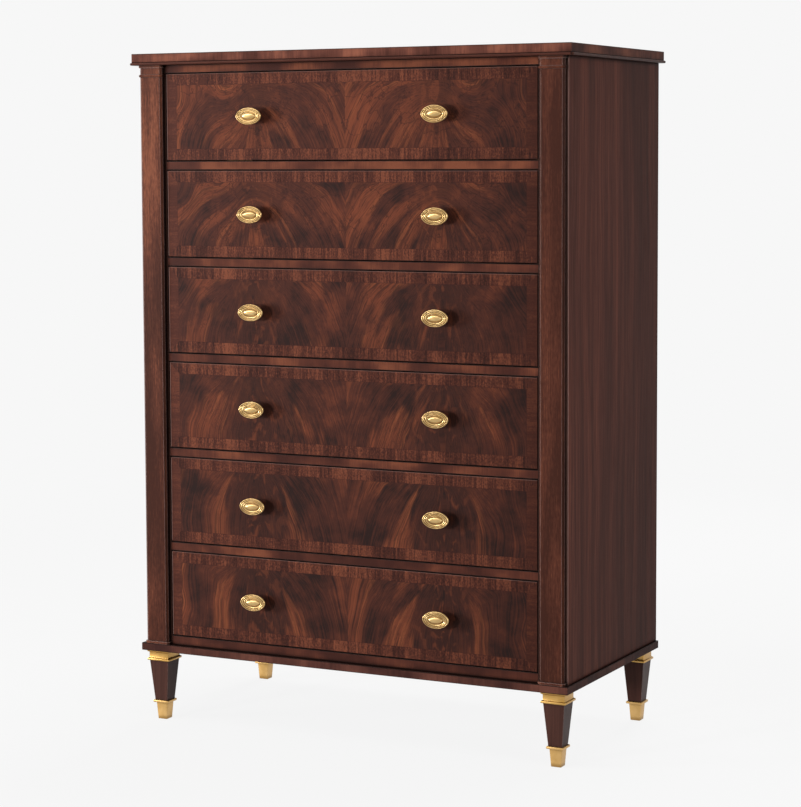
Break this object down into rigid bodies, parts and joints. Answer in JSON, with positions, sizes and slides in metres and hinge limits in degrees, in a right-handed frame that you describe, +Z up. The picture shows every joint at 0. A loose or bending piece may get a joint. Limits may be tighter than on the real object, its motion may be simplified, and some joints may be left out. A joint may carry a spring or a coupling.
{
  "type": "chest of drawers",
  "caption": "Tall mahogany chest of drawers with pilasters, oval brass knobs and square tapered brass-shod legs; each drawer slides on wooden runners.",
  "frame": {"origin": "on the floor, under the middle of the overall box, knobs included", "axes": "+Z up; -Y out of the drawer fronts, +Y towards the back; +X to the right seen from the front"},
  "size_m": [1.016, 0.518, 1.4293],
  "materials": {
    "case_mahogany": "dark red-brown mahogany under satin lacquer",
    "front_veneer": "bookmatched crotch mahogany veneer with a crossbanded border, satin lacquer",
    "drawer_wood": "pale secondary wood, sanded and sealed",
    "panel_wood": "stained plywood",
    "brass": "satin cast brass"
  },
  "bodies": {
    "case": {"back_panel": "panel_wood", "bottom_rail": "case_mahogany", "carcass_bottom": "drawer_wood", "carcass_top": "drawer_wood", "drawer_guides": "drawer_wood", "drawer_rail_1": "case_mahogany", "drawer_rail_2": "case_mahogany", "drawer_rail_3": "case_mahogany", "drawer_rail_4": "case_mahogany", "drawer_rail_5": "case_mahogany", "drawer_runners": "drawer_wood", "drawer_stops": "drawer_wood", "dust_panels": "panel_wood", "leg_back_left": "case_mahogany", "leg_back_right": "case_mahogany", "leg_collars": "brass", "leg_front_left": "case_mahogany", "leg_front_right": "case_mahogany", "leg_sabots": "brass", "pilaster_left": "case_mahogany", "pilaster_mouldings": "case_mahogany", "pilaster_right": "case_mahogany", "plinth": "case_mahogany", "post_left": "case_mahogany", "post_right": "case_mahogany", "side_panel_left": "case_mahogany", "side_panel_right": "case_mahogany", "top_moulding": "case_mahogany", "top_panel": "case_mahogany", "top_rail": "case_mahogany"},
    "drawer_1": {"drawer_1_back": "drawer_wood", "drawer_1_bottom": "drawer_wood", "drawer_1_front": "front_veneer", "drawer_1_knobs": "brass", "drawer_1_sides": "drawer_wood"},
    "drawer_2": {"drawer_2_back": "drawer_wood", "drawer_2_bottom": "drawer_wood", "drawer_2_front": "front_veneer", "drawer_2_knobs": "brass", "drawer_2_sides": "drawer_wood"},
    "drawer_3": {"drawer_3_back": "drawer_wood", "drawer_3_bottom": "drawer_wood", "drawer_3_front": "front_veneer", "drawer_3_knobs": "brass", "drawer_3_sides": "drawer_wood"},
    "drawer_4": {"drawer_4_back": "drawer_wood", "drawer_4_bottom": "drawer_wood", "drawer_4_front": "front_veneer", "drawer_4_knobs": "brass", "drawer_4_sides": "drawer_wood"},
    "drawer_5": {"drawer_5_back": "drawer_wood", "drawer_5_bottom": "drawer_wood", "drawer_5_front": "front_veneer", "drawer_5_knobs": "brass", "drawer_5_sides": "drawer_wood"},
    "drawer_6": {"drawer_6_back": "drawer_wood", "drawer_6_bottom": "drawer_wood", "drawer_6_front": "front_veneer", "drawer_6_knobs": "brass", "drawer_6_sides": "drawer_wood"}
  },
  "joints": [
    {"name": "drawer_1_slide", "type": "slide", "parent": "case", "child": "drawer_1", "axis": [0, -1, 0], "range_m": [0, 0.36]},
    {"name": "drawer_2_slide", "type": "slide", "parent": "case", "child": "drawer_2", "axis": [0, -1, 0], "range_m": [0, 0.36]},
    {"name": "drawer_3_slide", "type": "slide", "parent": "case", "child": "drawer_3", "axis": [0, -1, 0], "range_m": [0, 0.36]},
    {"name": "drawer_4_slide", "type": "slide", "parent": "case", "child": "drawer_4", "axis": [0, -1, 0], "range_m": [0, 0.36]},
    {"name": "drawer_5_slide", "type": "slide", "parent": "case", "child": "drawer_5", "axis": [0, -1, 0], "range_m": [0, 0.36]},
    {"name": "drawer_6_slide", "type": "slide", "parent": "case", "child": "drawer_6", "axis": [0, -1, 0], "range_m": [0, 0.36]}
  ]
}
